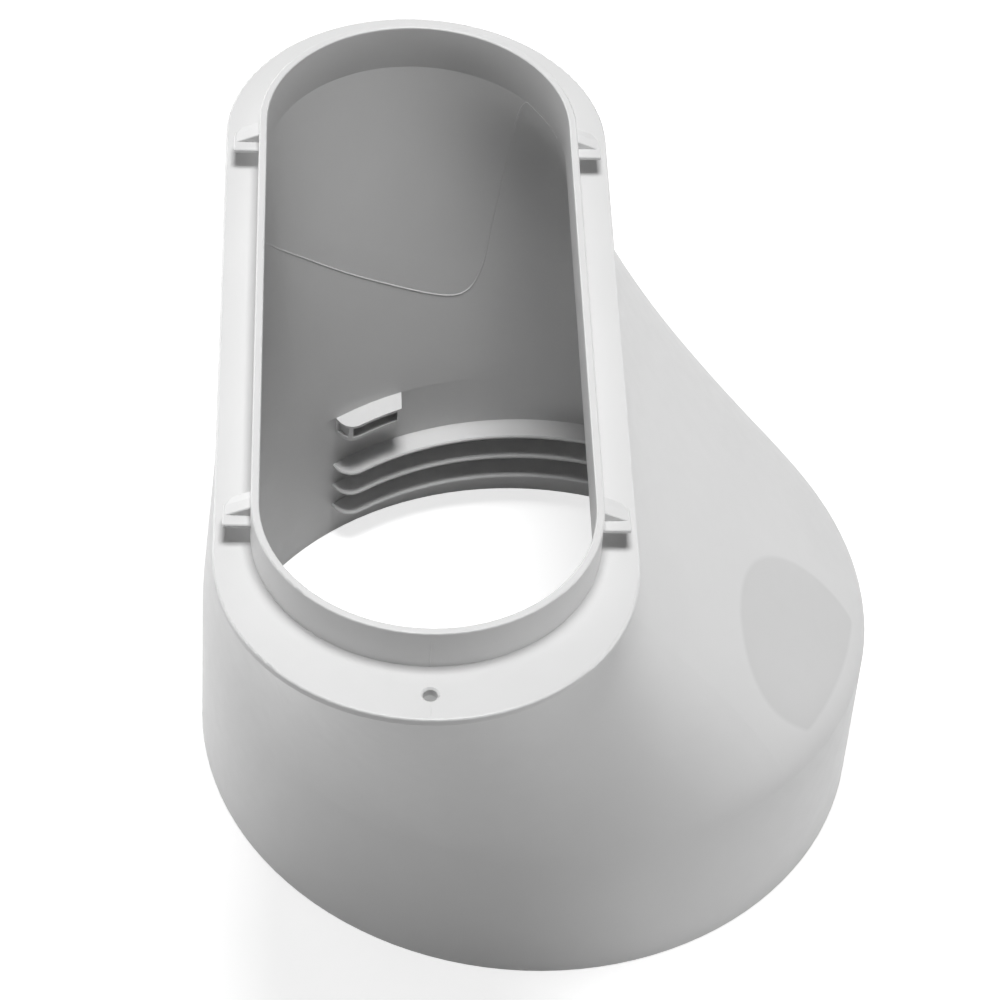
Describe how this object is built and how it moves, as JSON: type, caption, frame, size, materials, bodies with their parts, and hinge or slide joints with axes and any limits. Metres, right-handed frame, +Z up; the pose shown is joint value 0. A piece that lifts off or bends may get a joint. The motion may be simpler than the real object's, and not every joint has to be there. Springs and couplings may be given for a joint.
{
  "type": "exhaust hose adapter",
  "caption": "Moulded plastic adapter that leads a flat oblong air outlet into a round hose socket, with a screw flange, a locking collar and inner grip ribs for a corrugated hose.",
  "frame": {"origin": "centre of the round hose socket's mouth, in the plane of its lower rim", "axes": "+Z up along the hose's axis from the socket's mouth to the oblong collar, +Y along the collar's length, +X to the side that the round socket juts out on"},
  "size_m": [0.156, 0.2182, 0.1385],
  "materials": {
    "moulded_abs": "fine satin moulded surface, pale neutral grey-white"
  },
  "bodies": {
    "root": {"hose_adapter": "moulded_abs"}
  },
  "joints": []
}
